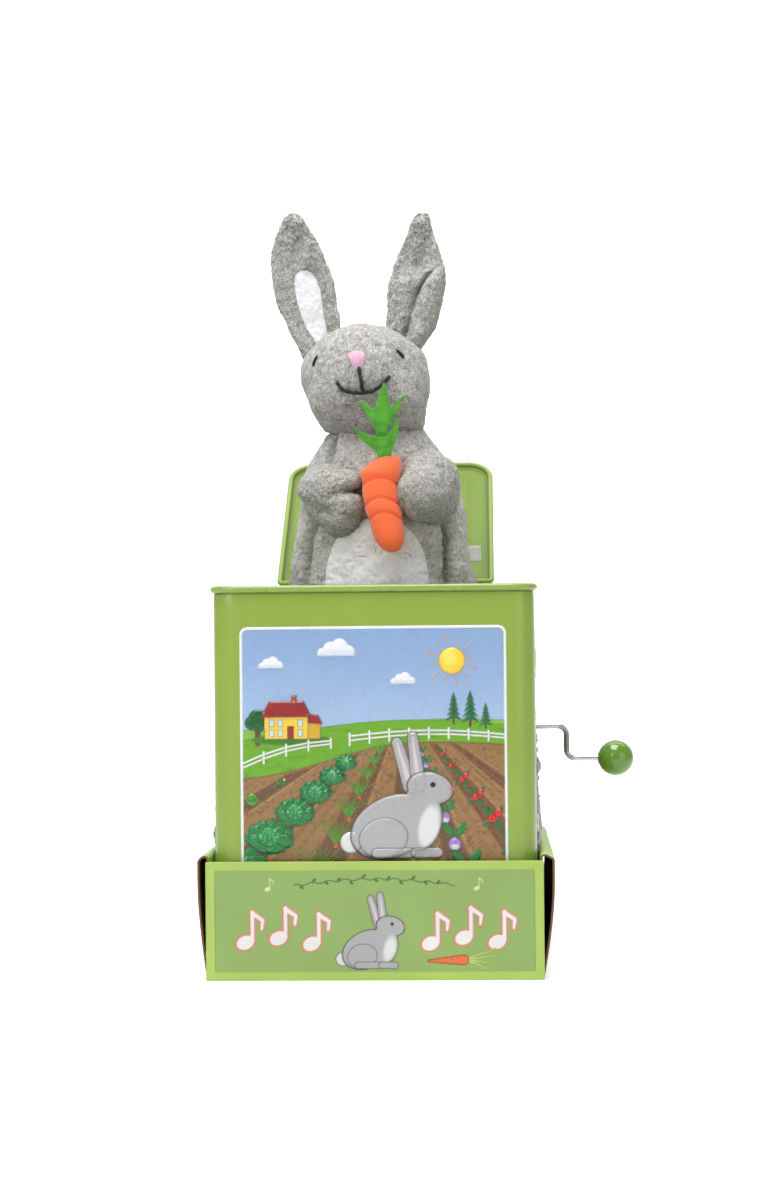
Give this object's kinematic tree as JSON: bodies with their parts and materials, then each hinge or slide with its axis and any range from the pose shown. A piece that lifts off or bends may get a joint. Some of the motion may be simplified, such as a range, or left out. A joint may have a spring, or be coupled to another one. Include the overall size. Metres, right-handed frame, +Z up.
{
  "type": "jack in the box toy",
  "caption": "Square printed tin box with a hinged lid, a side hand crank with a ball knob, and a plush rabbit holding a carrot on a coil spring, standing in an open card display tray.",
  "frame": {"origin": "middle of the underside of the card tray, directly under the middle of the tin, on the ground", "axes": "+Z up; -Y towards the front face with the printed picture; +X towards the crank; drawn with the lid open and the rabbit popped out"},
  "size_m": [0.1897, 0.2104, 0.337],
  "materials": {
    "tray_card": "printed, satin coated",
    "tin_green": "lithographed gloss enamel",
    "seam_green": "lithographed gloss enamel",
    "plated_steel": "zinc plated",
    "bright_steel": "polished nickel plate",
    "knob_green": "moulded, glossy",
    "gear_plastic": "moulded",
    "movement_black": "moulded, fine grain",
    "drum_brass": "machined",
    "cam_red": "moulded",
    "comb_steel": "ground spring steel",
    "cap_wood": "turned, unfinished",
    "fur_grey": "short heathered pile",
    "fur_white": "short pile",
    "carrot_cloth": "brushed knit",
    "felt_green": "felt",
    "thread_pink": "satin stitch",
    "thread_black": "embroidery thread",
    "tag_white": "woven ribbon"
  },
  "bodies": {
    "tray": {"display_tray": "tray_card"},
    "tin": {"tin_shell": "tin_green", "tin_base": "seam_green", "top_frame": "seam_green", "hinge_pin": "plated_steel", "latch_pivot": "plated_steel", "latch_spring": "plated_steel", "trip_pivot": "plated_steel", "crank_bushing": "plated_steel", "movement_base": "movement_black", "movement_cover": "movement_black", "cover_screws": "plated_steel", "wall_rivets": "seam_green", "drum_axle": "plated_steel", "comb": "comb_steel", "comb_screws": "plated_steel", "spring_base": "plated_steel", "spring_rivets": "plated_steel", "main_spring": "plated_steel"},
    "lid": {"lid": "tin_green", "lid_catch": "plated_steel", "catch_rivets": "plated_steel"},
    "latch": {"latch_bar": "plated_steel"},
    "trip": {"trip_lever": "plated_steel"},
    "crank": {"crank_rod": "bright_steel", "crank_knob": "knob_green", "crank_pinion": "gear_plastic"},
    "drum": {"music_drum": "drum_brass", "drum_gear": "gear_plastic", "release_cam": "cam_red"},
    "jack": {"spring_cap": "cap_wood", "body_cloth": "fur_grey", "belly_patch": "fur_white", "head": "fur_grey", "ear_left": "fur_grey", "ear_right": "fur_grey", "ear_lining_left": "fur_white", "ear_lining_right": "fur_white", "arm_left": "fur_grey", "arm_right": "fur_grey", "carrot": "carrot_cloth", "leaf_upper": "felt_green", "leaf_lower": "felt_green", "nose": "thread_pink", "eyes": "thread_black", "mouth": "thread_black", "side_tag": "tag_white"}
  },
  "joints": [
    {"name": "tin_lift", "type": "slide", "parent": "tray", "child": "tin", "axis": [0, 0, 1], "range_m": [0, 0.06]},
    {"name": "crank_turn", "type": "hinge", "parent": "tin", "child": "crank", "pos_m": [0.06, 0, 0.103], "axis": [1, 0, 0], "continuous": true},
    {"name": "drum_turn", "type": "hinge", "parent": "tin", "child": "drum", "pos_m": [0.06, -0.021, 0.103], "axis": [1, 0, 0], "continuous": true},
    {"name": "lid_swing", "type": "hinge", "parent": "tin", "child": "lid", "pos_m": [0, 0.0545, 0.1673], "axis": [1, 0, 0], "range_deg": [0, 142]},
    {"name": "jack_rise", "type": "slide", "parent": "tin", "child": "jack", "axis": [0, 0, 1], "range_m": [-0.127, 0], "deforming": ["main_spring", "body_cloth", "belly_patch", "ear_left", "ear_right", "ear_lining_left", "ear_lining_right"]},
    {"name": "trip_release", "type": "hinge", "parent": "tin", "child": "trip", "pos_m": [0.0494, -0.046, 0.122], "axis": [-1, 0, 0], "range_deg": [0, 4]},
    {"name": "latch_release", "type": "hinge", "parent": "tin", "child": "latch", "pos_m": [0.026, -0.058, 0.1622], "axis": [0, 0, 1], "range_deg": [0, 8]}
  ],
  "couplings": [
    {"joint": "drum_turn", "follows": "crank_turn", "ratio": -0.4},
    {"joint": "jack_rise", "follows": "lid_swing", "m_per_rad": -0.05084},
    {"joint": "latch_release", "follows": "trip_release", "ratio": 1.7}
  ]
}
